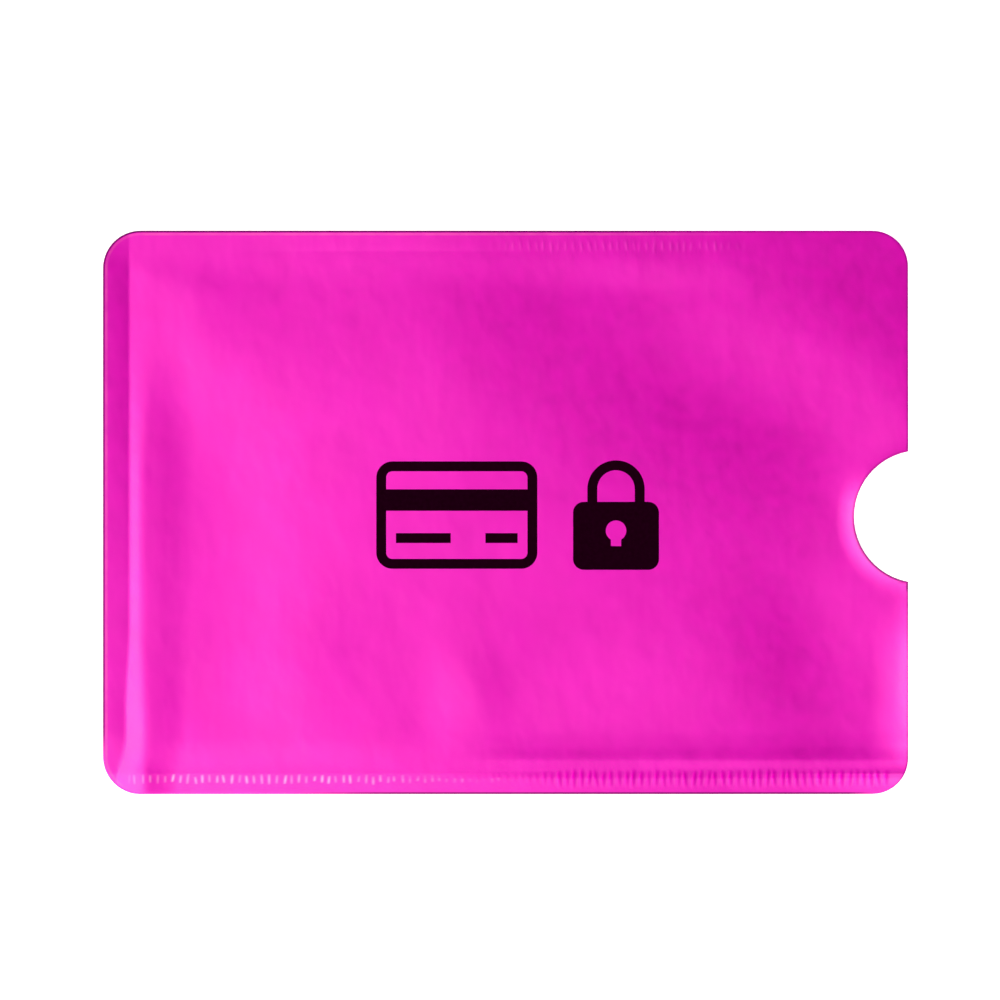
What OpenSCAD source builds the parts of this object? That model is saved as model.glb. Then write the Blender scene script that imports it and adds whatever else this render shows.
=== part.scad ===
// A flat card sleeve of tinted metal-foil laminate. Two like walls, each a film, a foil and a
// liner, are fused along both long sides and across one end. The other end is the mouth, where
// a thumb notch is cut through both walls. The sleeve lies on its rear wall, with its mouth
// towards +X and its printed front wall up.

/* [Card] */
// Length of the card that the sleeve is made for
card_length = 85.6; // [80:0.1:92]
// Width of the card
card_width = 53.98; // [48:0.02:60]
// Thickness of the card
card_thickness = 0.76; // [0.5:0.02:1.2]

/* [Pocket] */
// Free room beside the card, at each of its long edges
card_side_clearance = 0.51; // [0.2:0.01:2]
// Free room over the card, and as much again under it
card_face_clearance = 0.1; // [0.05:0.01:0.3]
// How far the mouth reaches past the end of a card that is pushed right in
mouth_reach = 0.3; // [0.1:0.1:3]
// Run of the slope from a side seam up to the flat of the wall
side_slope_run = 1.7; // [1:0.1:3]
// Run of the slope from the end seal up to the flat of the wall
end_slope_run = 1.6; // [1:0.1:3]

/* [Seams] */
// Width of the fused strip along each long side
side_seam_width = 2.3; // [2:0.1:4]
// Width of the fused strip across the closed end
end_seal_width = 2.5; // [2:0.1:6]
// Thickness of the fused liner between the two walls
seal_thickness = 0.06; // [0.04:0.01:0.1]

/* [Laminate] */
// Thickness of the tinted outer film
film_thickness = 0.05; // [0.04:0.01:0.1]
// Thickness of the shielding metal foil
foil_thickness = 0.03; // [0.02:0.01:0.06]
// Thickness of the inner liner that melts to make the seams
liner_thickness = 0.08; // [0.05:0.01:0.15]

/* [Outline] */
// Radius of the two corners at the closed end
closed_corner_radius = 4.2; // [1:0.1:6]
// Radius of the two corners at the mouth
mouth_corner_radius = 4; // [1:0.1:6]

/* [Thumb notch] */
// Radius of the round notch in the mouth
notch_radius = 7.4; // [5:0.1:12]
// How far the notch's centre lies outside the mouth's edge
notch_setback = 1.35; // [0.5:0.05:3]
// How far the notch's centre lies off the middle, towards the lower seam
notch_offset = 0.47; // [0.1:0.01:4]

/* [Crimp] */
// Distance from one pressed mark to the next along a seam
crimp_pitch = 0.83; // [0.6:0.01:2]
// Width of a mark, along the seam
crimp_mark_width = 0.4; // [0.2:0.01:0.5]
// Depth of a mark in the outer film
crimp_mark_depth = 0.03; // [0.01:0.01:0.03]
// Distance from the sleeve's edge to the marks
crimp_edge_margin = 0.8; // [0.4:0.1:1.2]
// Distance from the marks to the crease where the wall leaves the seam
crimp_crease_margin = 0.1; // [0.1:0.1:0.4]
// Distance from either end of the sleeve to the row of marks
crimp_end_margin = 2.2; // [1.5:0.1:8]

/* [Print] */
// Thickness of the ink on the front film
ink_thickness = 0.02; // [0.02:0.01:0.04]
// How far the printed block's centre lies from the sleeve's centre, towards the mouth
print_forward = 1.35; // [0.5:0.05:8]
// How far the printed block's centre lies from the sleeve's centre, towards the lower seam
print_down = 0.3; // [0.1:0.1:5]
// Width of the card sign
sign_card_width = 18; // [12:0.5:22]
// Height of the card sign
sign_card_height = 12; // [8:0.5:14]
// Corner radius of the card sign
sign_card_radius = 1.8; // [1.2:0.1:3]
// Line width of the signs
sign_line = 1.1; // [0.6:0.1:1.2]
// Space between the card sign and the padlock sign
sign_gap = 4; // [2:0.5:8]
// Width of the padlock sign's body
sign_lock_width = 9.6; // [7:0.1:12]
// Height of the padlock sign's body
sign_lock_height = 7.6; // [6:0.1:9]
// Outer radius of the padlock sign's bow
sign_bow_radius = 3.2; // [2.6:0.1:3.4]

/* [Hidden] */

$fn = 64;

// How far cuts run past what they cut
overrun = 1;

// Outer size of the sleeve, worked out from the card inside it
sleeve_length = end_seal_width + end_slope_run + card_length + mouth_reach;
sleeve_width = card_width + 2 * (card_side_clearance + side_slope_run + side_seam_width);
pocket_height = card_thickness + 2 * card_face_clearance;
wall_thickness = film_thickness + foil_thickness + liner_thickness;
sleeve_height = pocket_height + 2 * wall_thickness;
mid_height = sleeve_height / 2;

// Each layer of a wall lies between two depths, counted from the wall's inner face
liner_depths = [0, liner_thickness];
foil_depths = [liner_thickness, liner_thickness + foil_thickness];
film_depths = [liner_thickness + foil_thickness, wall_thickness];

// Height of a wall's inner face over the middle plane, in the seams and on the flat
seam_lift = seal_thickness / 2;
flat_lift = pocket_height / 2;
slope_steps = 8;

// The marks fill the seam between their two margins
crimp_mark_length = side_seam_width - crimp_edge_margin - crimp_crease_margin;
crimp_run = sleeve_length - 2 * crimp_end_margin - crimp_mark_width;
crimp_count = floor(crimp_run / crimp_pitch) + 1;

// Places and sizes inside the printed signs
sign_pair_width = sign_card_width + sign_gap + sign_lock_width;
sign_stripe_top_share = 0.26;
sign_stripe_share = 0.2;
sign_bar_lengths_share = [0.34, 0.2];
sign_bar_height_share = 0.26;
sign_bow_leg_share = 0.45;
sign_lock_radius = 1.2;
sign_keyhole_radius = 1.15;
sign_keyhole_slot = 2.3;

film_colour = [0.93, 0.17, 0.76];
foil_colour = [0.8, 0.81, 0.83];
liner_colour = [0.86, 0.87, 0.88];
seal_colour = [0.74, 0.76, 0.79];
ink_colour = [0.05, 0.04, 0.05];

// A wall leaves its seam at a crease, steepest there, and eases level with the flat
function slope_share(s) = 1 - (1 - s) ^ 2;

function lift_at(s) = seam_lift + (flat_lift - seam_lift) * slope_share(s);

// Points up one slope that starts at a crease, with the profile raised by a depth in the wall
function slope_points(crease, run, depth) =
    [for (i = [0 : slope_steps]) [crease + run * i / slope_steps, lift_at(i / slope_steps) + depth]];

function flipped(points) =
    [for (i = [len(points) - 1 : -1 : 0]) [-points[i][0], points[i][1]]];

// Profile over the width, from the lower seam to the upper one
function width_profile(depth, floor_height) =
    let (edge = sleeve_width / 2)
    let (slope = slope_points(-edge + side_seam_width, side_slope_run, depth))
    concat(
        [[-edge - overrun, floor_height], [-edge - overrun, seam_lift + depth]],
        slope,
        flipped(slope),
        [[edge + overrun, seam_lift + depth], [edge + overrun, floor_height]]
    );

// Profile over the length, from the closed end to the mouth
function length_profile(depth, floor_height) =
    let (edge = sleeve_length / 2)
    concat(
        [[-edge - overrun, floor_height], [-edge - overrun, seam_lift + depth]],
        slope_points(-edge + end_seal_width, end_slope_run, depth),
        [[edge + overrun, flat_lift + depth], [edge + overrun, floor_height]]
    );

// What lies under one level of the front wall: both profiles together, with mitred corners
module under_level(depth, floor_height) {
    intersection() {
        rotate([90, 0, 90])
            linear_extrude(height = sleeve_length + 2 * overrun, center = true)
                polygon(width_profile(depth, floor_height));
        rotate([90, 0, 0])
            linear_extrude(height = sleeve_width + 2 * overrun, center = true)
                polygon(length_profile(depth, floor_height));
    }
}

// What is outside the arc of one corner, in the quarter where both signs are positive
module corner_waste(radius) {
    difference() {
        translate([-radius, -radius])
            square(radius + overrun);
        translate([-radius, -radius])
            circle(radius);
    }
}

// The rounded outline of the sleeve, less the thumb notch
module outline() {
    difference() {
        square([sleeve_length, sleeve_width], center = true);
        for (side = [0, 1])
            mirror([0, side]) {
                translate([sleeve_length / 2, sleeve_width / 2])
                    corner_waste(mouth_corner_radius);
                mirror([1, 0])
                    translate([sleeve_length / 2, sleeve_width / 2])
                        corner_waste(closed_corner_radius);
            }
        translate([sleeve_length / 2 + notch_setback, -notch_offset])
            circle(notch_radius);
    }
}

// One layer of the front wall, over the middle plane
module wall_layer(depths) {
    difference() {
        intersection() {
            under_level(depths[1], 0);
            linear_extrude(height = sleeve_height)
                outline();
        }
        under_level(depths[0], -overrun);
    }
}

module front_wall(depths) {
    translate([0, 0, mid_height])
        wall_layer(depths);
}

module rear_wall(depths) {
    translate([0, 0, mid_height])
        mirror([0, 0, 1])
            wall_layer(depths);
}

// The marks that the sealing jaws press into the front film along both seams
module crimp_marks() {
    seam_top = seam_lift + wall_thickness;
    for (side = [0, 1])
        mirror([0, side, 0])
            for (i = [0 : crimp_count - 1])
                translate([
                    -sleeve_length / 2 + crimp_end_margin + i * crimp_pitch,
                    sleeve_width / 2 - crimp_edge_margin - crimp_mark_length,
                    seam_top - crimp_mark_depth
                ])
                    cube([crimp_mark_width, crimp_mark_length, crimp_mark_depth + overrun]);
}

module front_film() {
    color(film_colour)
        difference() {
            front_wall(film_depths);
            translate([0, 0, mid_height])
                crimp_marks();
        }
}

module front_foil() {
    color(foil_colour)
        front_wall(foil_depths);
}

module front_liner() {
    color(liner_colour)
        front_wall(liner_depths);
}

module rear_film() {
    color(film_colour)
        difference() {
            rear_wall(film_depths);
            translate([0, 0, mid_height])
                mirror([0, 0, 1])
                    crimp_marks();
        }
}

module rear_foil() {
    color(foil_colour)
        rear_wall(foil_depths);
}

module rear_liner() {
    color(liner_colour)
        rear_wall(liner_depths);
}

// A sheet of melted liner between the walls, with the sleeve's outline
module melted_sheet() {
    translate([0, 0, mid_height])
        linear_extrude(height = seal_thickness, center = true)
            outline();
}

// The fused strip along the upper long side, mirrored for the lower one
module side_seal_strip() {
    intersection() {
        melted_sheet();
        translate([-sleeve_length / 2 - overrun, sleeve_width / 2 - side_seam_width, 0])
            cube([sleeve_length + 2 * overrun, side_seam_width + overrun, sleeve_height]);
    }
}

module upper_side_seal() {
    color(seal_colour)
        side_seal_strip();
}

module lower_side_seal() {
    color(seal_colour)
        mirror([0, 1, 0])
            side_seal_strip();
}

// The fused strip across the closed end, between the two side strips
module end_seal() {
    strip_length = sleeve_width - 2 * side_seam_width;
    color(seal_colour)
        intersection() {
            melted_sheet();
            translate([-sleeve_length / 2 - overrun, -strip_length / 2, 0])
                cube([end_seal_width + overrun, strip_length, sleeve_height]);
        }
}

module rounded_plate(size, radius) {
    union() {
        square([size[0] - 2 * radius, size[1]], center = true);
        square([size[0], size[1] - 2 * radius], center = true);
        for (x = [-1, 1])
            for (y = [-1, 1])
                translate([x * (size[0] / 2 - radius), y * (size[1] / 2 - radius)])
                    circle(radius);
    }
}

// A plain bank-card sign: a round-cornered frame, a stripe and two short bars
module card_sign() {
    inner = [sign_card_width - 2 * sign_line, sign_card_height - 2 * sign_line];
    difference() {
        rounded_plate([sign_card_width, sign_card_height], sign_card_radius);
        rounded_plate(inner, sign_card_radius - sign_line);
    }
    stripe_top = sign_card_height * (1 / 2 - sign_stripe_top_share);
    stripe = sign_card_height * sign_stripe_share;
    translate([-sign_card_width / 2 + sign_line / 2, stripe_top - stripe])
        square([sign_card_width - sign_line, stripe]);
    bar_lengths = sign_card_width * sign_bar_lengths_share;
    translate([-inner[0] / 2 + sign_line, -sign_card_height * sign_bar_height_share])
        square([bar_lengths[0], sign_line]);
    translate([inner[0] / 2 - sign_line - bar_lengths[1], -sign_card_height * sign_bar_height_share])
        square([bar_lengths[1], sign_line]);
}

// A plain padlock sign: a round-cornered body with a keyhole, and a bow of two legs and an arch
module lock_sign() {
    leg = sign_bow_radius * sign_bow_leg_share;
    overall = sign_lock_height + leg + sign_bow_radius;
    translate([0, -overall / 2]) {
        difference() {
            translate([0, sign_lock_height / 2])
                rounded_plate([sign_lock_width, sign_lock_height], sign_lock_radius);
            translate([0, sign_lock_height / 2 + sign_keyhole_radius / 2])
                circle(sign_keyhole_radius);
            translate([-sign_keyhole_radius / 2, sign_lock_height / 2 - sign_keyhole_slot + sign_keyhole_radius])
                square([sign_keyhole_radius, sign_keyhole_slot]);
        }
        difference() {
            union() {
                translate([0, sign_lock_height + leg])
                    circle(sign_bow_radius);
                translate([-sign_bow_radius, sign_lock_height / 2])
                    square([2 * sign_bow_radius, sign_lock_height / 2 + leg]);
            }
            translate([0, sign_lock_height + leg])
                circle(sign_bow_radius - sign_line);
            translate([-sign_bow_radius + sign_line, 0])
                square([2 * (sign_bow_radius - sign_line), sign_lock_height + leg]);
        }
    }
}

// The printed signs, one ink film thick, on the flat of the front wall
module front_print() {
    color(ink_colour)
        translate([print_forward, -print_down, sleeve_height])
            linear_extrude(height = ink_thickness) {
                translate([(sign_card_width - sign_pair_width) / 2, 0])
                    card_sign();
                translate([(sign_pair_width - sign_lock_width) / 2, 0])
                    lock_sign();
            }
}

rear_film();
rear_foil();
rear_liner();
lower_side_seal();
upper_side_seal();
end_seal();
front_liner();
front_foil();
front_film();
front_print();
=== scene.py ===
"""Looks of a flat card sleeve of tinted foil laminate: slack walls, pressed seams, print and finishes."""

import math

import bmesh
import bpy
import numpy as np
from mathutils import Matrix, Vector

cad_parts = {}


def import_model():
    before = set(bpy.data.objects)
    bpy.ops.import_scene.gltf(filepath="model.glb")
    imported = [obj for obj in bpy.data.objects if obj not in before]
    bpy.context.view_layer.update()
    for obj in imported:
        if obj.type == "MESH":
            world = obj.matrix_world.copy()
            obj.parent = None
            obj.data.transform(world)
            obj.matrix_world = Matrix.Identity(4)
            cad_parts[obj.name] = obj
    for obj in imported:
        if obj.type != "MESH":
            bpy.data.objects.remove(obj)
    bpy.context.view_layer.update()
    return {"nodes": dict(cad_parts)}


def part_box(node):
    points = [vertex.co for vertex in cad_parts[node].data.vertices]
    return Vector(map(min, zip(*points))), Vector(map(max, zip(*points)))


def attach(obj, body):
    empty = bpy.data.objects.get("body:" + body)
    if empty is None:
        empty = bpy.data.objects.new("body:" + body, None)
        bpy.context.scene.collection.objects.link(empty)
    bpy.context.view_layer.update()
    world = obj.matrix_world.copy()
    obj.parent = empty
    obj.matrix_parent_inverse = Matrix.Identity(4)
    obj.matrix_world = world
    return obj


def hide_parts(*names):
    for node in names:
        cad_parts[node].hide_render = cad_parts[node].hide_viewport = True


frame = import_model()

MM = 0.001
MICRON = MM / 1000

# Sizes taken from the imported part
outer_low, outer_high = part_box("front_film")
liner_low, liner_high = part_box("front_liner")
foil_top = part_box("front_foil")[1].z
HALF_LENGTH = outer_high.x
HALF_WIDTH = outer_high.y
TOP = outer_high.z
MIDDLE = TOP / 2
FILM = TOP - foil_top
FOIL = foil_top - liner_high.z
LINER = outer_low.z - liner_low.z - FOIL
WALL = FILM + FOIL + LINER
end_low, end_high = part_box("end_seal")
side_low, side_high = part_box("lower_side_seal")
END_SEAL = end_high.x - end_low.x
SIDE_SEAM = side_high.y - side_low.y
SEAM_LIFT = (end_high.z - end_low.z) / 2
FLAT_LIFT = TOP - MIDDLE - WALL

# Sizes that the part's source names and no box shows
END_RUN = 1.6 * MM
SIDE_RUN = 1.7 * MM
CLOSED_RADIUS = 4.2 * MM
MOUTH_RADIUS = 4.0 * MM
NOTCH_RADIUS = 7.4 * MM
NOTCH_X = HALF_LENGTH + 1.35 * MM
NOTCH_Y = -0.47 * MM
CRIMP_PITCH = 0.83 * MM
CRIMP_WIDTH = 0.4 * MM
CRIMP_END_MARGIN = 2.2 * MM
CRIMP_DEPTH = 0.03 * MM

# Places along a row: closest beside the cut edge, and even in the middle. A row's points are one finest step
# apart, or COARSE of them, or PLAIN of them, which is two coarse steps. So the coarse steps up to each crease
# and to the even stretch add up to an even number
RING = np.array([0, 0.05, 0.1, 0.18, 0.26, 0.4, 0.6]) * MM
SEAL_STEPS = 6
SLOPE_STEPS = 8
INNER_STEPS = 12
STEADY_STEPS = 174
COARSE_STEP = CRIMP_PITCH / 2
STEADY_REACH = STEADY_STEPS * COARSE_STEP / 2
FINE, COARSE, PLAIN = 1, 4, 8
# Rows this near to a side's edge cross its marks
MARKED_INSET = 3.0 * MM
# Rows of a film and of the plain layers: steps over a seam and over its slope, the step of the flat, and how
# many rows the notch has
FILM_ROWS = (17, 17, 0.5 * MM, 45)
PLAIN_ROWS = (3, 6, 1.0 * MM, 25)
# The flat's rows keep this share of their step away from the notch's, and places are rounded to these digits
NOTCH_CLEARANCE = 0.25
ROW_DIGITS = 8
# Squares that the strips and the print are cut into, the cuts' tolerance, and how near points are joined
STRIP_STEP = 1.0 * MM
PRINT_STEP = 0.5 * MM
CUT_TOLERANCE = 0.1 * MICRON
JOIN_DISTANCE = 1.0 * MICRON
# Edges look sharp from these angles, in degrees
SHEET_SHARP = 55
BLOCK_SHARP = 40
# The print's upper faces have a normal of at least this z, and its ink is sunk by this share of the film
UPPER_FROM = 0.5
INK_SUNK = 0.1

# Gentle forms of the slack front wall, in millimetres and degrees: place along and across the sleeve, length
# along and across, turn, height
FRONT_FORMS = [
    # trough beside the ridge of the closed end, leaning away from it downwards
    (-41, 22, 2.5, 5, 0, -0.02),
    (-37, 13, 3, 3.5, 0, -0.04),
    (-32.5, 5, 5, 6.5, 0, -0.14),
    (-30, -10, 5.2, 7, 0, -0.13),
    # humps in the upper left corner
    (-30, 20, 5, 5, 0, 0.06),
    (-35, 21.5, 2.5, 5, 0, 0.05),
    # broad rise in the left half
    (-4, 16, 7, 6, 0, 0.12),
    (6, -1, 8, 8, 0, 0.07),
    (-18, 14, 5, 7, 0, 0.03),
    # long valley from the upper seam to the mouth, and the lip beyond it
    (24, 16, 15, 6.5, -28, -0.28),
    (14, 21, 12, 4.5, 0, 0.07),
    (32, 19, 9, 5, 0, 0.08),
    (50, 7, 7, 7, 0, 0.50),
    # folds near the lower left corner
    (-22, -17, 4.5, 5, 20, 0.09),
    (-24, -20, 3, 3, 0, 0.04),
    (-9, -22, 2, 4, 0, -0.03),
    (-3.5, -20, 2.4, 3.5, 0, 0.09),
    (1.5, -18, 3.5, 4.5, 0, 0.05),
    # hollow below the notch, and the lower corner of the mouth
    (35, -14, 5, 6, 20, -0.20),
    (22, -20, 6, 6, 0, 0.02),
    (46, -26, 4, 4, 0, 0.12),
    # short scuffed fold left of the print
    (-22.3, 7.0, 2.2, 0.6, 45, 0.03),
    (-21.6, 7.9, 2.2, 0.6, 45, -0.03),
]
# Dents of the rear wall, listed the same way
REAR_FORMS = [
    (-24, 10, 9, 12, 20, -0.14),
    (6, -10, 14, 7, -30, -0.12),
    (34, 8, 8, 9, 0, -0.12),
]
# Lips that stand up at the mouth and round the notch: place along the mouth, half length, reach, height
FRONT_FLARES = {
    "mouth": [(-20, 9, 4.3, 0.28), (-16, 8, 1.6, 0.06)],
    "notch": [(1.5, 3.4, 2.1, 0.13), (4, 3.5, 4, 0.08), (-4.5, 5, 2.2, 0.14)],
}
REAR_FLARES = {"mouth": [(-14, 8, 2.6, -0.06), (16, 7, 2.6, -0.05)], "notch": []}

# Over how many millimetres from the end seal and the two side seams the front wall's slack sets in
SLACK_FROM_END, SLACK_FROM_LOWER, SLACK_FROM_UPPER = 3, 4, 5

# From here to the film's colours, lengths and places are in millimetres where no unit stands beside them.
# A ramp is a place and a run: after() rises over the run past the place, and before() falls over the run
# up to it

# Two stages on the way down the closed end to its lower corner, which are ramps
CORNER_STAGES = [(-12, 10), (-25, 5)]
# Crease past the end seal, and how far each stage moves it
CREASE = 0.4
CREASE_MOVES = (-0.4, -1.1)
# Ridge past the crease: its slope at the upper seam and lower down, where that changes, and how far from the
# upper seam it sets in
RIDGE_SLOPE = (0.015, 0.08)
RIDGE_SLOPE_RAMP = (26, 26)
RIDGE_FROM_UPPER = 3
# How far it climbs, what each stage adds, and where it fades
RIDGE_CLIMB = 1.0
RIDGE_CLIMB_MOVES = (0.7, 1.3)
RIDGE_FADE = (1.5, 5.5)
# The bend at its foot, the one at its top lower down and higher up, and where that changes
RIDGE_FOOT_BEND = 0.25
RIDGE_TOP_BEND = (0.7, 1.9)
RIDGE_TOP_RAMP = (2, 14)

# Folds beside the lower seam and beside the upper one: height, ramps away from the seam where each rises and
# fades, and ramps along the sleeve where it sets in and ends
SEAL_INSIDE = (END_SEAL - HALF_LENGTH) / MM
LOWER_FOLDS = [
    {"height": 0.05, "rises": (0, 4), "fades": (2, 9), "sets_in": (SEAL_INSIDE, 3), "ends": (4, 30)},
    {"height": -0.022, "rises": (-0.6, 0.9), "sets_in": (-8, 12)},
    {"height": 0.018, "rises": (0.4, 1.2), "sets_in": (8, 20)},
    {"height": -0.050, "rises": (1.35, 1.6), "sets_in": (-8, 12)},
    {"height": -0.050, "rises": (1.8, 3.0), "sets_in": (-8, 12)},
    {"height": 0.070, "rises": (5, 12), "sets_in": (-8, 12)},
]
UPPER_FOLDS = [
    {"height": -0.05, "rises": (-0.8, 5.3), "fades": (5, 16), "sets_in": (-36, 14), "ends": (6, 14)},
]

# How far the sealed edges of both walls curl up or down, along each of them
END_CURL = {"places": [-30, -25, -10, 20, 27, 31], "lift": [0, 0.12, 0.13, 0.21, 0.20, 0.07]}
LOWER_CURL = {"places": [-45, -12, 10, 22, 33, 43], "lift": [-0.08, -0.07, -0.02, -0.02, -0.10, -0.27]}
UPPER_CURL = {"places": [-45, -32, -20, -8, 6, 45], "lift": [-0.02, 0, 0.05, 0.06, 0.02, -0.01]}
# Height of the closed end's curl against a straight one, near its crease and at its edge
END_CURL_BOW = (1.1, 0.9)

# The pressed marks along each seam: how high their ribs stand, how wide they are, where they start and end,
# how whitened they are, partly as a painted highlight, how dark their painted shade is, and how bright the
# painted highlight on the film between them is
LOWER_MARKS = {
    "places": [-44, -40, -38.5, -18, -10, 3, 6, 44],
    "press": [0.05, 0.1, 0.15, 0.15, 0.1, 0.15, 0.4, 0.5],
    "spread": [0.13, 0.13, 0.14, 0.14, 0.16, 0.2, 0.2, 0.2],
    "start": [1.2, 1.2, 1.2, 1.2, 1.3, 1.2, 0.8, 0.8],
    "end": [2.15, 2.15, 2.15, 2.15, 2.15, 2.3, 2.7, 2.7],
    "white": [0.15, 0.3, 0.85, 0.8, 0.4, 0.12, 0.03, 0.03],
    "dark": [0, 0, 0, 0.1, 0.2, 0.4, 1.2, 1.4],
    "lit": [0, 0, 0, 0, 0, 0.02, 0.07, 0.09],
}
UPPER_MARKS = {
    "places": [-44, -2, 2, 12, 24, 28, 44],
    "press": [0.03, 0.03, 0.2, 0.25, 0.2, 0.05, 0.03],
    "spread": [0.14] * 7,
    "start": [1.1] * 7,
    "end": [2.3] * 7,
    "white": [0, 0, 0.04, 0.04, 0.04, 0, 0],
    "dark": [0] * 7,
    "lit": [0] * 7,
}
# The rear wall's marks are alike all along
EVEN_MARKS = {
    "places": [-44, 44],
    "press": [0.3, 0.3],
    "spread": [0.22, 0.22],
    "start": [0.8, 0.8],
    "end": [2.2, 2.2],
    "white": [0.1, 0.1],
    "dark": [0.3, 0.3],
    "lit": [0.02, 0.02],
}
# How much one mark differs from the next: the spread of its place, of its lean and of its two ends, and the
# range of its depth
MARK_SHIFT, MARK_LEAN, MARK_END_SHIFT = 0.045, 0.08, 0.08
MARK_DEPTHS = (0.6, 1.1)
# Power that blunts a mark's ends, how dark its outer and its inner part are, the ramp between them in
# shares of its length, and how much of the light between two marks goes where they are darkest
MARK_BLUNTNESS = 0.6
MARK_PARTS = (0.35, 1.0)
MARK_PARTS_RAMP = (0.4, 0.2)
LIT_LOSS = 0.5

# The cut edges: how far they drop and over what run, and how the painted shade on them and the painted
# highlight beside them lie further in
EDGE_DROP = 0.015 * MM
EDGE_RUN = 0.2 * MM
RIM_PLACES = [0, 0.18, 0.26, 0.4, 0.6]
RIM_DARK = [1, 1, 0.1, 0, 0]
RIM_LIGHT = [0, 0, 0.7, 1, 0]
# How dark the painted shade on the cut is, partly the cut's own darker colour, and the share that it loses on
# the left of the lower side, and where it is faint, towards the mouth on the upper and the lower side
CUT_SHADE, SHADE_LIFT, FAINT_LOSS = 0.9, 0.9, 0.85
SHADE_LIFT_ALONG, SHADE_LIFT_ACROSS = (-12, 14), (-24, 4)
FAINT_UPPER, FAINT_LOWER = (8, 24), (38, 4)
# How dark the painted shade on the notch's cut is in its upper and its lower part, where that changes, and
# how far in it counts
NOTCH_DARK = (0.35, 0.75)
NOTCH_DARK_RAMP = (2, 6)
NOTCH_BORDER = 1.0 * MM
# Where the painted highlight lies beside the edge: along the closed end and the upper side
LIGHT_END, LIGHT_UPPER = (-42, 2), (29, 2)

# Colours of the film: the tint's range, the painted highlight beside the edge, the painted shade on the cut,
# and the whitened marks, partly a painted highlight
FILM_TINTS = ((0.83, 0.002, 0.63), (0.88, 0.003, 0.68))
FILM_RIM_HIGHLIGHT = (0.92, 0.06, 0.62)
FILM_CUT_SHADE = (0.17, 0.002, 0.16)
FILM_WHITENED_HIGHLIGHT = (1.0, 0.35, 1.0)
# Range that most of a noise lies in
NOISE_LOW, NOISE_HIGH = 0.3, 0.7

# The sky by how far a direction leans towards the light's side: it rises as a power from SKY_START to
# SKY_FULL, sinks to a share of that further down the side, and is warm where it is brightest
LIGHT_SIDE = (-0.8, -0.6)
SKY_BRIGHT, SKY_START, SKY_FULL, SKY_POWER = 3.3, -0.129, 0.20, 2.2
SKY_SIDE_SHARE, SKY_SIDE_FROM, SKY_SIDE_TO = 0.25, 0.24, 0.6
SKY_WARM, SKY_WARM_FROM, SKY_WARM_TO = (1.0, 0.98, 0.5), 0.07, 0.2
# Its other side is dim, with a fill lower down
SKY_DIM, SKY_FILL, FILL_FROM, FILL_TO = 0.07, 1.2, -0.3, -0.7
# What the camera sees of it
SEEN_WHITE = 0.95
# The floor lies just below the sleeve and glows, to be as white as the photograph's ground
FLOOR_REACH = 3.0
FLOOR_LEVEL = -0.01 * MM
FLOOR_GLOW = 0.7
# The photograph in pixels: its width, the sleeve's length in it and the sleeve's middle
PICTURE = 1000
LENGTH_PIXELS = 804.8
MIDDLE_PIXELS = (505.54, 512.4)
# The camera's lens and sensor in millimetres, and its clip distances in metres
LENS, SENSOR = 200, 36
CLIP_START, CLIP_END = 0.01, 10


def corner_recess(y, radius):
    """How far a corner's arc draws in the end of the outline at y."""
    over = np.maximum(np.abs(y) - (HALF_WIDTH - radius), 0)
    return radius - np.sqrt(np.maximum(radius ** 2 - over ** 2, 0))


def notch_recess(y):
    """How far the thumb notch draws in the mouth's edge at y."""
    half_chord = np.sqrt(np.maximum(NOTCH_RADIUS ** 2 - (y - NOTCH_Y) ** 2, 0))
    return np.maximum(half_chord - (NOTCH_X - HALF_LENGTH), 0)


def end_points(y):
    """Both ends of the outline at y."""
    left = -HALF_LENGTH + corner_recess(y, CLOSED_RADIUS)
    right = HALF_LENGTH - max(corner_recess(y, MOUTH_RADIUS), notch_recess(y))
    return left, right


def notch_distance(x, y):
    """Distance from the notch's arc, below 0 inside the notch."""
    return np.hypot(x - NOTCH_X, y - NOTCH_Y) - NOTCH_RADIUS


def edge_distance(x, y):
    """Distance from the nearest cut edge, inside the outline."""
    radius = np.where(x < 0, CLOSED_RADIUS, MOUTH_RADIUS)
    over_x = np.abs(x) - (HALF_LENGTH - radius)
    over_y = np.abs(y) - (HALF_WIDTH - radius)
    outside = np.hypot(np.maximum(over_x, 0), np.maximum(over_y, 0))
    rim = radius - outside - np.minimum(np.maximum(over_x, over_y), 0)
    return np.maximum(np.minimum(rim, notch_distance(x, y)), 0)


def rise(distance, run):
    """Goes smoothly from 0 to 1 over a run."""
    share = np.clip(distance / run, 0, 1)
    return share * share * (3 - 2 * share)


def after(place, ramp):
    """Rises from 0 to 1 over the run past a ramp's place."""
    start, run = ramp
    return rise(place - start, run)


def before(place, ramp):
    """Falls from 1 to 0 over the run up to a ramp's place."""
    end, run = ramp
    return rise(end - place, run)


def between(pair, share):
    """Goes from the first of a pair to the second."""
    return pair[0] + (pair[1] - pair[0]) * share


def staged(first, moves, y):
    """A length that changes with each stage of the way down to the lower corner."""
    return first + sum(move * before(y, stage) for move, stage in zip(moves, CORNER_STAGES))


def form_height(x, y, form):
    """Height of one gentle form, a rounded hump or hollow."""
    cx, cy, along, across, turn, height = form
    turn = math.radians(turn)
    dx = x - cx * MM
    dy = y - cy * MM
    u = (dx * math.cos(turn) + dy * math.sin(turn)) / (along * MM)
    v = (dy * math.cos(turn) - dx * math.sin(turn)) / (across * MM)
    return height * MM * np.exp(-(u * u + v * v) / 2)


def flare_height(y, distance, flare):
    """Height of one lip, at a distance from its edge."""
    place, half_length, reach, height = flare
    near = np.clip(1 - distance / (reach * MM), 0, 1)
    return height * MM * np.exp(-((y / MM - place) / half_length) ** 2) * near ** 2


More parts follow.
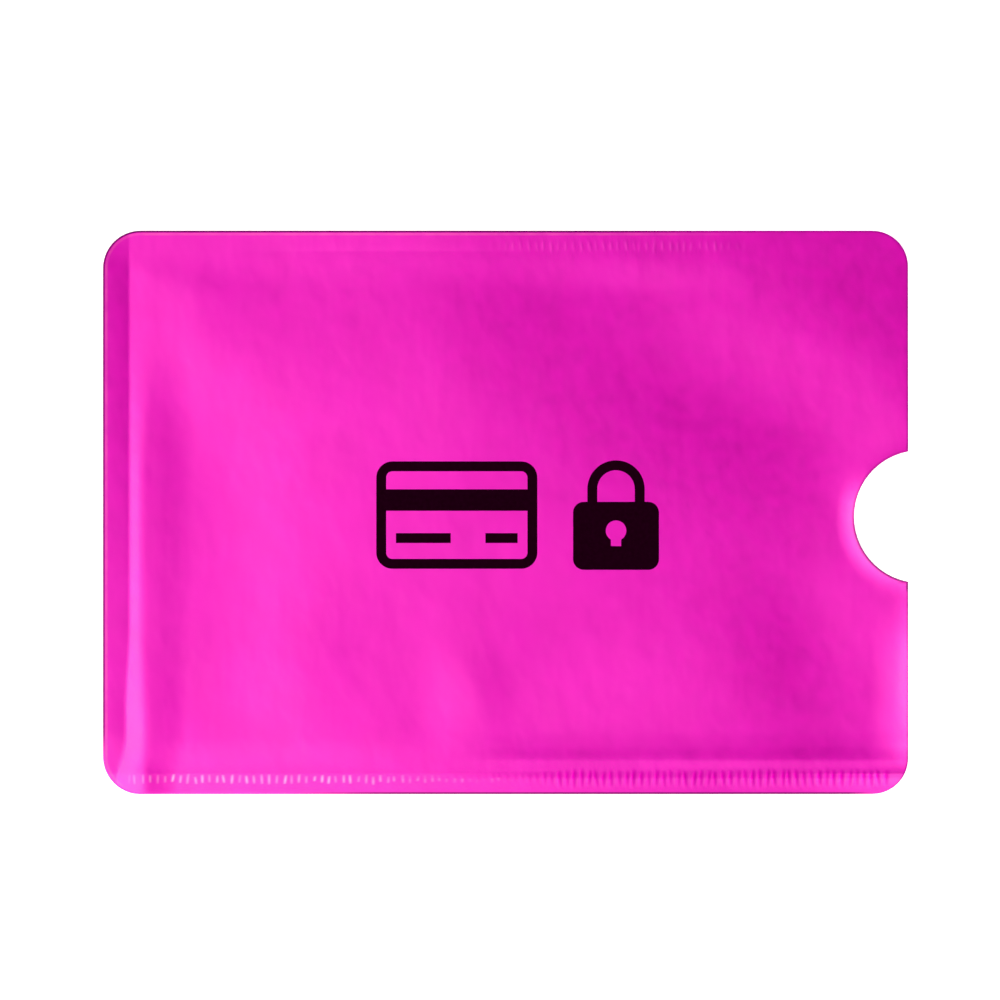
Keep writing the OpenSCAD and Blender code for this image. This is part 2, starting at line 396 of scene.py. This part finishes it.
def relief(x, y, forms, flares):
    """Height of the gentle forms and of the lips together."""
    height = sum(form_height(x, y, form) for form in forms)
    for kind, distance in (("mouth", HALF_LENGTH - x), ("notch", notch_distance(x, y))):
        height = height + sum(flare_height(y, distance, flare) for flare in flares[kind])
    return height


def rear_shape(x, y):
    """The rear wall's inner face over its seams: full, as it lies on its flat, with shallow dents."""
    from_end = 1 - np.clip((x + HALF_LENGTH - END_SEAL) / END_RUN, 0, 1)
    from_side = 1 - np.clip((HALF_WIDTH - np.abs(y) - SIDE_SEAM) / SIDE_RUN, 0, 1)
    share = 1 - np.clip(np.hypot(from_end, from_side), 0, 1) ** 2
    return share * (FLAT_LIFT - SEAM_LIFT + relief(x, y, REAR_FORMS, REAR_FLARES))


def bend(distance, run):
    """Turns over a run from level to a slope of 1."""
    near = np.clip(distance, 0, run)
    return near * near / (2 * run) + np.maximum(distance - run, 0)


def crease_line(y):
    """How far past the end seal its crease lies, which runs out to the edge at the lower corner."""
    return staged(CREASE, CREASE_MOVES, y)


def ridge_height(from_end, from_upper, y):
    """The ridge past the crease of the end seal, which fades out upwards."""
    past = from_end - crease_line(y)
    slope = between(RIDGE_SLOPE, before(y, RIDGE_SLOPE_RAMP)) * rise(from_upper, RIDGE_FROM_UPPER)
    climb = staged(RIDGE_CLIMB, RIDGE_CLIMB_MOVES, y)
    top_bend = between(RIDGE_TOP_BEND, after(y, RIDGE_TOP_RAMP))
    ridge = slope * (bend(past, RIDGE_FOOT_BEND) - bend(past - climb, top_bend))
    return ridge * (1 - after(past, RIDGE_FADE))


def fold_height(from_seam, x, fold):
    """Height of one fold that runs along a seam."""
    height = fold["height"] * after(from_seam, fold["rises"]) * after(x, fold["sets_in"])
    if "fades" in fold:
        height = height * (1 - after(from_seam, fold["fades"]))
    if "ends" in fold:
        height = height * before(x, fold["ends"])
    return height


def front_shape(x, y):
    """The front wall's inner face over its seams: slack, with a ridge and with folds along both sides."""
    from_end = (x + HALF_LENGTH - END_SEAL) / MM
    from_lower = (y + HALF_WIDTH - SIDE_SEAM) / MM
    from_upper = (HALF_WIDTH - SIDE_SEAM - y) / MM
    slack = rise(from_end, SLACK_FROM_END) * rise(from_lower, SLACK_FROM_LOWER)
    slack = slack * rise(from_upper, SLACK_FROM_UPPER)
    folds = ridge_height(from_end, from_upper, y / MM)
    for from_seam, seam_folds in ((from_lower, LOWER_FOLDS), (from_upper, UPPER_FOLDS)):
        folds = folds + sum(fold_height(from_seam, x / MM, fold) for fold in seam_folds)
    return slack * relief(x, y, FRONT_FORMS, FRONT_FLARES) + folds * MM


def curl(x, y):
    """How far the sealed edges curl: each side straight from its seam, and the closed end a little bowed."""
    end = np.clip(1 - (x + HALF_LENGTH) / (END_SEAL + crease_line(y / MM) * MM), 0, 1)
    height = end * between(END_CURL_BOW, end) * np.interp(y / MM, END_CURL["places"], END_CURL["lift"])
    for seam, plan in ((-1, LOWER_CURL), (1, UPPER_CURL)):
        side = np.clip(1 - (HALF_WIDTH - seam * y) / SIDE_SEAM, 0, 1)
        height = height + side * np.interp(x / MM, plan["places"], plan["lift"])
    return height * MM


def rim_tone(x, y):
    """Tone of the film along its edge: over 0 for the painted shade on the cut, below 0 for the painted
    highlight beside it.
    """
    distance = edge_distance(x, y) / MM
    in_notch = notch_distance(x, y) < NOTCH_BORDER
    x, y = x / MM, y / MM
    # the cut's painted shade is lifted on the left of the lower side and is faint towards the mouth
    lit_share = before(x, SHADE_LIFT_ALONG) * before(y, SHADE_LIFT_ACROSS)
    faint = np.where(y > 0, after(x, FAINT_UPPER), after(x, FAINT_LOWER))
    dark = CUT_SHADE * (1 - SHADE_LIFT * lit_share) * (1 - FAINT_LOSS * faint)
    dark = np.where(in_notch, between(NOTCH_DARK, before(y, NOTCH_DARK_RAMP)), dark)
    light = np.maximum(before(x, LIGHT_END), after(y, LIGHT_UPPER) * (1 - faint))
    light = light * np.interp(distance, RIM_PLACES, RIM_LIGHT)
    return dark * np.interp(distance, RIM_PLACES, RIM_DARK) - light


class Wall:
    """One wall of the sleeve: side is 1 for the front wall and -1 for the rear one."""

    def __init__(self, side, shape, lower_marks, upper_marks, seed):
        self.side = side
        self.shape = shape
        self.seams = {-1: lower_marks, 1: upper_marks}
        count = int((2 * (HALF_LENGTH - CRIMP_END_MARGIN) - CRIMP_WIDTH) / CRIMP_PITCH) + 1
        draw = np.random.default_rng(seed)
        self.marks = {
            seam: {
                "shift": draw.normal(0, MARK_SHIFT, count) * MM,
                "lean": draw.normal(0, MARK_LEAN, count),
                "depth": draw.uniform(*MARK_DEPTHS, count),
                "start": draw.normal(0, MARK_END_SHIFT, count),
                "end": draw.normal(0, MARK_END_SHIFT, count),
            }
            for seam in (-1, 1)
        }

    def lift(self, x, y):
        """Height of the wall's inner face over the middle plane."""
        return SEAM_LIFT + self.shape(x, y)

    def outer_change(self, x, y):
        """How far the outer face stands off its even place, at the cut edges and the marks."""
        edge = np.clip(1 - edge_distance(x, y) / EDGE_RUN, 0, 1)
        ribs, _ = self.pressed(x, y)
        return ribs - EDGE_DROP * edge ** 2

    def pressed(self, x, y):
        """Height of the ribs that the sealing roll leaves, and the film's tone: up whitened, partly a painted
        highlight, down painted shade.
        """
        inset = HALF_WIDTH - np.abs(y)
        below, above = (self.seam_marks(x, inset, seam) for seam in (-1, 1))
        return [np.where(y < 0, low, high) for low, high in zip(below, above)]

    def seam_marks(self, x, inset, seam):
        """Height and tone of the marks of one seam."""
        marks = self.marks[seam]
        table = self.seams[seam]
        plan = {name: np.interp(x / MM, table["places"], row) for name, row in table.items()}
        first = -HALF_LENGTH + CRIMP_END_MARGIN + (CRIMP_WIDTH + CRIMP_PITCH) / 2
        index = np.clip(np.rint((x - first) / CRIMP_PITCH), 0, len(marks["shift"]) - 1).astype(int)
        middle = first + index * CRIMP_PITCH + marks["shift"][index]
        middle = middle + marks["lean"][index] * (inset - SIDE_SEAM / 2)
        across = np.exp(-((x - middle) / (plan["spread"] * MM)) ** 2)
        start = plan["start"] + marks["start"][index]
        end = plan["end"] + marks["end"][index]
        share = np.clip((inset / MM - start) / (end - start), 0, 1)
        along = np.sin(math.pi * share) ** MARK_BLUNTNESS
        depth = marks["depth"][index]
        height = CRIMP_DEPTH * plan["press"] * depth * across * along
        part = between(MARK_PARTS, after(share, MARK_PARTS_RAMP))
        # tone is whitening that is partly a painted highlight, less the marks' painted shade; lit is a
        # painted highlight between the marks
        tone = (plan["white"] * depth - plan["dark"] * part) * depth * across * along
        lit = plan["lit"] * (1 - across) * along * (1 - LIT_LOSS * part)
        return height, tone + lit

    def surface(self, depth, outer=False):
        """Height function of the face that lies at a depth in the wall, counted from its inner face."""
        def height(x, y):
            level = self.lift(x, y) + depth
            if outer:
                level = level + self.outer_change(x, y)
            return MIDDLE + curl(x, y) + self.side * level
        return height

    def tone(self, x, y):
        """The film's tone alone."""
        return self.pressed(x, y)[1]


def stations():
    """Places along a full row, in finest steps, with a coarser step on each crease."""
    slope_end = END_SEAL + END_RUN
    end = np.concatenate([
        RING,
        np.linspace(RING[-1], END_SEAL, SEAL_STEPS + 1)[1:],
        np.linspace(END_SEAL, slope_end, SLOPE_STEPS + 1)[1:],
        np.linspace(slope_end, HALF_LENGTH - STEADY_REACH, INNER_STEPS + 1)[1:],
    ]) - HALF_LENGTH
    steady = np.linspace(-STEADY_REACH, STEADY_REACH, STEADY_STEPS + 1)[1:-1]
    coarse = np.concatenate([end, steady, -end[::-1]])
    fine_count = (len(coarse) - 1) * COARSE + 1
    return np.interp(np.arange(fine_count) / COARSE, np.arange(len(coarse)), coarse)


STATIONS = stations()


def row_places(y, stride):
    """Places of a row's points: steady in the middle and drawn in to the outline at both ends."""
    left, right = end_points(y)
    ring = RING[-1]
    known = [-HALF_LENGTH, ring - HALF_LENGTH, -STEADY_REACH, STEADY_REACH, HALF_LENGTH - ring, HALF_LENGTH]
    moved = [left, left + ring, -STEADY_REACH, STEADY_REACH, right - ring, right]
    return np.interp(STATIONS[::stride], known, moved)


def row_levels(detailed):
    """Where rows lie across the sleeve, and whether each crosses the marks."""
    seam_steps, slope_steps, flat_step, notch_rows = FILM_ROWS if detailed else PLAIN_ROWS
    slope_end = SIDE_SEAM + SIDE_RUN
    lower = -HALF_WIDTH + np.concatenate([
        RING,
        np.linspace(RING[-1], SIDE_SEAM, seam_steps + 1)[1:],
        np.linspace(SIDE_SEAM, slope_end, slope_steps + 1)[1:],
    ])
    reach = HALF_WIDTH - slope_end
    flat = np.linspace(-reach, reach, int(2 * reach / flat_step) + 1)[1:-1]
    lip = math.acos((NOTCH_X - HALF_LENGTH) / NOTCH_RADIUS)
    notch = NOTCH_Y + NOTCH_RADIUS * np.sin(np.linspace(-lip, lip, notch_rows))
    clearance = flat_step * NOTCH_CLEARANCE
    clear = (flat < notch[0] - clearance) | (flat > notch[-1] + clearance)
    levels = np.concatenate([lower, flat[clear], notch, -lower])
    levels = np.unique(np.round(levels, ROW_DIGITS))
    return levels, HALF_WIDTH - np.abs(levels) <= MARKED_INSET


def strip(a, b):
    """Faces between two rows, where one row may have several points to each step of the other."""
    steps = min(len(a), len(b)) - 1
    per_a = (len(a) - 1) // steps
    per_b = (len(b) - 1) // steps
    return [
        tuple(a[k * per_a:(k + 1) * per_a + 1]) + tuple(b[k * per_b:(k + 1) * per_b + 1][::-1])
        for k in range(steps)
    ]


def shell(name, upper, lower, detailed, tone):
    """A closed layer in the outline, between two faces: each a height function and its rows' two strides."""
    levels, marked = row_levels(detailed)
    points = []
    rows = []
    for height, (marked_stride, plain_stride) in (upper, lower):
        surface_rows = []
        for y, in_marks in zip(levels, marked):
            x = row_places(y, marked_stride if in_marks else plain_stride)
            start = sum(len(p) for p in points)
            points.append(np.column_stack([x, np.full_like(x, y), height(x, np.full_like(x, y))]))
            surface_rows.append(np.arange(start, start + len(x)).tolist())
        rows.append(surface_rows)
    top, bottom = rows
    faces = []
    for j in range(len(levels) - 1):
        faces += strip(top[j], top[j + 1])
        faces += strip(bottom[j + 1], bottom[j])
        faces.append((bottom[j][0], top[j][0], top[j + 1][0], bottom[j + 1][0]))
        faces.append((bottom[j][-1], bottom[j + 1][-1], top[j + 1][-1], top[j][-1]))
    faces += strip(bottom[0], top[0])
    faces += strip(top[-1], bottom[-1])
    points = np.concatenate(points)
    mesh = bpy.data.meshes.new(name)
    mesh.from_pydata(points.tolist(), [], faces)
    mesh.update()
    if detailed:
        x, y = points[:, 0], points[:, 1]
        # rim holds the painted shade and painted highlight at the cut edge, and tone those of the marks
        for kind, values in {"rim": rim_tone(x, y), "tone": tone(x, y)}.items():
            layer = mesh.attributes.new(kind, "FLOAT", "POINT")
            layer.data.foreach_set("value", values.astype(np.float32))
    return add_piece(name, mesh, SHEET_SHARP)


def add_piece(name, mesh, sharp_from):
    """Puts a mesh in the scene, shaded smoothly but for its edges of more than an angle."""
    mesh.shade_smooth()
    mesh.set_sharp_from_angle(angle=math.radians(sharp_from))
    obj = bpy.data.objects.new(name, mesh)
    bpy.context.scene.collection.objects.link(obj)
    return obj


def stand_for(obj, node, slot, material):
    """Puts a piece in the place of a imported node."""
    obj.data.materials.clear()
    obj.data.materials.append(material)
    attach(obj, "root")
    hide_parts(node)


# Materials


class Graph:
    """A node tree, and short ways to add to it."""

    def __init__(self, tree):
        self.nodes = tree.nodes
        self.links = tree.links

    def feed(self, socket, value):
        """Sets a socket, or links an output to it."""
        if isinstance(value, (int, float, tuple)):
            socket.default_value = value
        else:
            self.links.new(value, socket)

    def spread(self, value, low, high, from_low=NOISE_LOW, from_high=NOISE_HIGH, eased=False):
        """Maps a value from one range to another, and holds it at the ends."""
        mapped = self.nodes.new("ShaderNodeMapRange")
        if eased:
            mapped.interpolation_type = "SMOOTHSTEP"
        ends = {"From Min": from_low, "From Max": from_high, "To Min": low, "To Max": high}
        for name, number in ends.items():
            mapped.inputs[name].default_value = number
        self.links.new(value, mapped.inputs["Value"])
        return mapped.outputs["Result"]

    def combine(self, operation, first, second):
        """Puts two numbers together by a math node's operation."""
        node = self.nodes.new("ShaderNodeMath")
        node.operation = operation
        self.feed(node.inputs[0], first)
        self.feed(node.inputs[1], second)
        return node.outputs["Value"]

    def blend(self, share, first, second):
        """A colour between two, each an RGB triple or an output."""
        mix = self.nodes.new("ShaderNodeMix")
        mix.data_type = "RGBA"
        self.links.new(share, mix.inputs["Factor"])
        colours = [s for s in mix.inputs if s.type == "RGBA"]
        for socket, colour in zip(colours, (first, second)):
            self.feed(socket, (*colour, 1) if isinstance(colour, tuple) else colour)
        return [s for s in mix.outputs if s.type == "RGBA"][0]


class Paint(Graph):
    """A material with its principled shader, and short ways to add procedural detail."""

    def __init__(self, name, metallic):
        self.material = bpy.data.materials.new(name)
        self.material.use_nodes = True
        super().__init__(self.material.node_tree)
        self.shader = self.nodes["Principled BSDF"]
        self.set("Metallic", metallic)
        self.place = self.nodes.new("ShaderNodeTexCoord").outputs["Object"]

    def set(self, socket, value):
        """Sets one of the shader's sockets, or links an output to it."""
        self.feed(self.shader.inputs[socket], value)

    def noise(self, per_metre, detail):
        """Noise with its own number of features per metre along each axis."""
        mapping = self.nodes.new("ShaderNodeMapping")
        mapping.inputs["Scale"].default_value = per_metre
        noise = self.nodes.new("ShaderNodeTexNoise")
        noise.inputs["Scale"].default_value = 1.0
        noise.inputs["Detail"].default_value = detail
        self.links.new(self.place, mapping.inputs["Vector"])
        self.links.new(mapping.outputs["Vector"], noise.inputs["Vector"])
        return noise.outputs["Fac"]

    def attribute(self, name):
        """A number that the mesh holds for each of its points."""
        node = self.nodes.new("ShaderNodeAttribute")
        node.attribute_name = name
        return node.outputs["Fac"]

    def bump(self, reliefs):
        """Adds up small reliefs, each an output and its height in metres."""
        normal = None
        for height, size in reliefs:
            node = self.nodes.new("ShaderNodeBump")
            node.inputs["Strength"].default_value = 1.0
            node.inputs["Distance"].default_value = size
            self.links.new(height, node.inputs["Height"])
            if normal is not None:
                self.links.new(normal, node.inputs["Normal"])
            normal = node.outputs["Normal"]
        self.set("Normal", normal)
        return normal


def tinted_film():
    """Satin metallic tint with a soft crinkle, painted shade on the cut edge with a painted highlight beside
    it, and pressed marks with painted highlights and painted shade.
    """
    paint = Paint("tinted_film", metallic=0.9)
    paint.set("Specular IOR Level", 0.0)
    cloud = paint.noise((140, 140, 140), detail=3)
    patch = paint.noise((380, 250, 250), detail=2)
    streak = paint.noise((1500, 60, 60), detail=2)
    mottle = paint.noise((700, 700, 700), detail=3)
    colour = paint.blend(paint.spread(cloud, 0, 1), *FILM_TINTS)

    # painted highlight beside the cut edge, and painted shade on the edge itself, partly the cut's own darker
    # colour
    rim = paint.attribute("rim")
    broken = paint.spread(mottle, 0.6, 1, 0.4, 0.6)
    lit_share = paint.combine("MULTIPLY", paint.spread(rim, 1, 0, -1, 0), broken)
    colour = paint.blend(lit_share, colour, FILM_RIM_HIGHLIGHT)
    cut = paint.spread(rim, 0, 1, 0, 1)
    colour = paint.blend(cut, colour, FILM_CUT_SHADE)

    # marks of the sealing roll: whitened, partly as a painted highlight, where tone is over 0, and given
    # painted shade, with less coat, where it is below
    tone = paint.attribute("tone")
    colour = paint.blend(paint.spread(tone, 0, 1, 0, 1), colour, FILM_WHITENED_HIGHLIGHT)
    unshaded = paint.spread(tone, 0, 1, -1, 0)
    paint.set("Base Color", colour)
    paint.set("Roughness", paint.spread(mottle, 0.33, 0.39))
    # the coat is taken away where the marks have painted shade and on the cut's painted shade
    paint.set("Coat Weight", paint.combine("MULTIPLY", unshaded, paint.spread(cut, 1, 0.15, 0, 1)))
    paint.set("Coat Roughness", 0.1)
    reliefs = [(streak, 1.0 * MICRON), (mottle, 1.4 * MICRON), (patch, 16 * MICRON), (cloud, 18 * MICRON)]
    paint.set("Coat Normal", paint.bump(reliefs))
    return paint.material


def shield_foil():
    """Bright foil with fine lines from the rolling mill."""
    paint = Paint("shield_foil", metallic=1.0)
    rolling = paint.noise((60, 3000, 60), detail=2)
    share = paint.spread(rolling, 0, 1)
    paint.set("Base Color", paint.blend(share, (0.80, 0.81, 0.83), (0.88, 0.89, 0.90)))
    paint.set("Roughness", paint.spread(rolling, 0.18, 0.3))
    paint.bump([(rolling, 1.0 * MICRON)])
    return paint.material


def seal_liner():
    """Silver grey liner, a little hazy, with faint streaks."""
    paint = Paint("seal_liner", metallic=0.75)
    haze = paint.noise((500, 500, 500), detail=3)
    streak = paint.noise((1200, 60, 60), detail=2)
    share = paint.spread(haze, 0, 1)
    paint.set("Base Color", paint.blend(share, (0.70, 0.71, 0.74), (0.80, 0.81, 0.83)))
    paint.set("Roughness", paint.spread(haze, 0.3, 0.45))
    paint.bump([(streak, 2.0 * MICRON)])
    return paint.material


def fused_seam():
    """Melted liner, slightly cloudy."""
    paint = Paint("fused_seam", metallic=0.0)
    cloud = paint.noise((900, 900, 900), detail=4)
    share = paint.spread(cloud, 0, 1)
    paint.set("Base Color", paint.blend(share, (0.62, 0.64, 0.68), (0.78, 0.79, 0.82)))
    paint.set("Roughness", paint.spread(cloud, 0.42, 0.6))
    paint.bump([(cloud, 4.0 * MICRON)])
    return paint.material


def black_ink():
    """Printed ink, almost black, with a fine grain."""
    paint = Paint("black_ink", metallic=0.0)
    grain = paint.noise((2500, 2500, 2500), detail=3)
    share = paint.spread(grain, 0, 1)
    paint.set("Base Color", paint.blend(share, (0.008, 0.0, 0.004), (0.012, 0.0, 0.007)))
    paint.set("Roughness", paint.spread(grain, 0.4, 0.55))
    paint.set("Specular IOR Level", 0.0)
    paint.bump([(grain, 2.0 * MICRON)])
    return paint.material


# Pieces


def packed_mesh(node):
    """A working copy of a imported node's mesh, with its points joined."""
    work = bmesh.new()
    work.from_mesh(frame["nodes"][node].data)
    bmesh.ops.remove_doubles(work, verts=work.verts[:], dist=JOIN_DISTANCE)
    work.normal_update()
    return work


def cut_up(work, node, step):
    """Cuts a mesh into small squares, so that it can follow a curved surface."""
    low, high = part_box(node)
    for axis, side in enumerate((Vector((1, 0, 0)), Vector((0, 1, 0)))):
        for place in np.arange(low[axis] + step, high[axis], step):
            geometry = work.verts[:] + work.edges[:] + work.faces[:]
            point = side * float(place)
            bmesh.ops.bisect_plane(work, geom=geometry, dist=CUT_TOLERANCE, plane_co=point, plane_no=side)


def lay_on(verts, surface, offset=0.0):
    """Puts points at an offset over a height function."""
    x = np.array([v.co.x for v in verts])
    y = np.array([v.co.y for v in verts])
    for vert, z in zip(verts, surface(x, y)):
        vert.co.z = float(z) + offset


def new_mesh(name, work):
    """The finished mesh of a working copy."""
    mesh = bpy.data.meshes.new(name)
    work.to_mesh(mesh)
    work.free()
    return mesh


def curled_seal(node, front, rear, material):
    """A fused strip that follows the curl of its edge and fills the space between the two walls."""
    name = f"{node}_strip"
    work = packed_mesh(node)
    cut_up(work, node, STRIP_STEP)
    upper = [v for v in work.verts if v.co.z > MIDDLE]
    lower = [v for v in work.verts if v.co.z <= MIDDLE]
    lay_on(upper, front.surface(0))
    lay_on(lower, rear.surface(0))
    stand_for(add_piece(name, new_mesh(name, work), BLOCK_SHARP), node, "fused_seam", material)


def draped_print(front, material):
    """The printed signs, laid on the waved front film."""
    name = "printed_signs"
    ink_low, ink_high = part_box("front_print")
    work = packed_mesh("front_print")
    unseen = [f for f in work.faces if f.normal.z < UPPER_FROM]
    bmesh.ops.delete(work, geom=unseen, context="FACES")
    cut_up(work, "front_print", PRINT_STEP)
    top_verts = work.verts[:]
    grown = bmesh.ops.extrude_face_region(work, geom=work.faces[:], use_keep_orig=True)
    low_verts = [v for v in grown["geom"] if isinstance(v, bmesh.types.BMVert)]
    film_top = front.surface(WALL, outer=True)
    lay_on(top_verts, film_top, ink_high.z - ink_low.z)
    lay_on(low_verts, film_top, -INK_SUNK * FILM)
    bmesh.ops.recalc_face_normals(work, faces=work.faces[:])
    stand_for(add_piece(name, new_mesh(name, work), BLOCK_SHARP), "front_print", "black_ink", material)


def laminate(wall, name, materials):
    """The film, foil and liner of one wall."""
    layers = {
        "liner": ("seal_liner", 0, LINER),
        "foil": ("shield_foil", LINER, LINER + FOIL),
        "film": ("tinted_film", LINER + FOIL, WALL),
    }
    for layer, (slot, inner, outer) in layers.items():
        detailed = layer == "film"
        inner_face = (wall.surface(inner), (PLAIN, PLAIN))
        outer_face = (wall.surface(outer, outer=detailed), (FINE, COARSE) if detailed else (PLAIN, PLAIN))
        upper, lower = (outer_face, inner_face) if wall.side > 0 else (inner_face, outer_face)
        obj = shell(f"{name}_{layer}_sheet", upper, lower, detailed, wall.tone)
        stand_for(obj, f"{name}_{layer}", slot, materials[slot])


# Studio


def floor():
    """The pale ground under the sleeve."""
    corners = [
        (side_x * FLOOR_REACH, side_y * FLOOR_REACH, FLOOR_LEVEL)
        for side_x, side_y in ((-1, -1), (1, -1), (1, 1), (-1, 1))
    ]
    mesh = bpy.data.meshes.new("floor")
    mesh.from_pydata(corners, [], [(0, 1, 2, 3)])
    obj = bpy.data.objects.new("floor", mesh)
    bpy.context.scene.collection.objects.link(obj)
    paint = Paint("pale_floor", metallic=0.0)
    grain = paint.noise((90, 90, 90), detail=3)
    share = paint.spread(grain, 0, 1)
    paint.set("Base Color", paint.blend(share, (0.90, 0.90, 0.90), (0.93, 0.93, 0.93)))
    paint.set("Roughness", 0.7)
    paint.set("Specular IOR Level", 0.2)
    paint.set("Emission Color", (1.0, 1.0, 1.0, 1.0))
    paint.set("Emission Strength", FLOOR_GLOW)
    mesh.materials.append(paint.material)


def sky():
    """A broad soft light on one side that fades over the top, and a dimmer fill low on the other side."""
    world = bpy.data.worlds.new("studio")
    bpy.context.scene.world = world
    world.use_nodes = True
    graph = Graph(world.node_tree)
    background = graph.nodes["Background"]
    way = graph.nodes.new("ShaderNodeTexCoord")
    lean = graph.nodes.new("ShaderNodeVectorMath")
    lean.operation = "DOT_PRODUCT"
    lean.inputs[1].default_value = (*LIGHT_SIDE, 0)
    graph.links.new(way.outputs["Generated"], lean.inputs[0])
    side = lean.outputs["Value"]

    # the broad light, its warmth and the fill
    ramp = graph.combine("POWER", graph.spread(side, 0, 1, SKY_START, SKY_FULL), SKY_POWER)
    level = graph.spread(side, SKY_BRIGHT, SKY_BRIGHT * SKY_SIDE_SHARE, SKY_SIDE_FROM, SKY_SIDE_TO)
    warmth = graph.spread(side, 0, 1, SKY_WARM_FROM, SKY_WARM_TO)
    warmth = graph.combine("MULTIPLY", warmth, graph.spread(side, 1, 0, SKY_SIDE_FROM, SKY_SIDE_TO))
    graph.feed(background.inputs["Color"], graph.blend(warmth, (1, 1, 1), SKY_WARM))
    fill = graph.spread(side, SKY_DIM, SKY_FILL, FILL_FROM, FILL_TO, eased=True)
    total = graph.combine("ADD", graph.combine("MULTIPLY", ramp, level), fill)

    # plain white where the camera sees the sky itself
    rays = graph.nodes.new("ShaderNodeLightPath")
    seen = graph.nodes.new("ShaderNodeMix")
    seen.data_type = "FLOAT"
    graph.feed(seen.inputs["Factor"], rays.outputs["Is Camera Ray"])
    graph.feed(seen.inputs["A"], total)
    graph.feed(seen.inputs["B"], SEEN_WHITE)
    graph.feed(background.inputs["Strength"], seen.outputs["Result"])


def camera():
    """Looks straight down, framed as in the photograph."""
    pixel = 2 * HALF_LENGTH / LENGTH_PIXELS
    centre_x = (PICTURE / 2 - MIDDLE_PIXELS[0]) * pixel
    centre_y = (MIDDLE_PIXELS[1] - PICTURE / 2) * pixel
    data = bpy.data.cameras.new("camera")
    data.sensor_width = SENSOR
    data.lens = LENS
    data.clip_start = CLIP_START
    data.clip_end = CLIP_END
    obj = bpy.data.objects.new("camera", data)
    obj.location = (centre_x, centre_y, MIDDLE + PICTURE * pixel * LENS / SENSOR)
    bpy.context.scene.collection.objects.link(obj)
    bpy.context.scene.camera = obj
    bpy.context.scene.view_settings.view_transform = "Standard"


def build():
    """Makes the camera, the studio and every piece."""
    camera()
    floor()
    sky()
    materials = {
        "tinted_film": tinted_film(),
        "shield_foil": shield_foil(),
        "seal_liner": seal_liner(),
        "fused_seam": fused_seam(),
        "black_ink": black_ink(),
    }
    front = Wall(1, front_shape, LOWER_MARKS, UPPER_MARKS, seed=3)
    rear = Wall(-1, rear_shape, EVEN_MARKS, EVEN_MARKS, seed=8)
    laminate(rear, "rear", materials)
    laminate(front, "front", materials)
    draped_print(front, materials["black_ink"])
    for node in ("lower_side_seal", "upper_side_seal", "end_seal"):
        curled_seal(node, front, rear, materials["fused_seam"])


build()
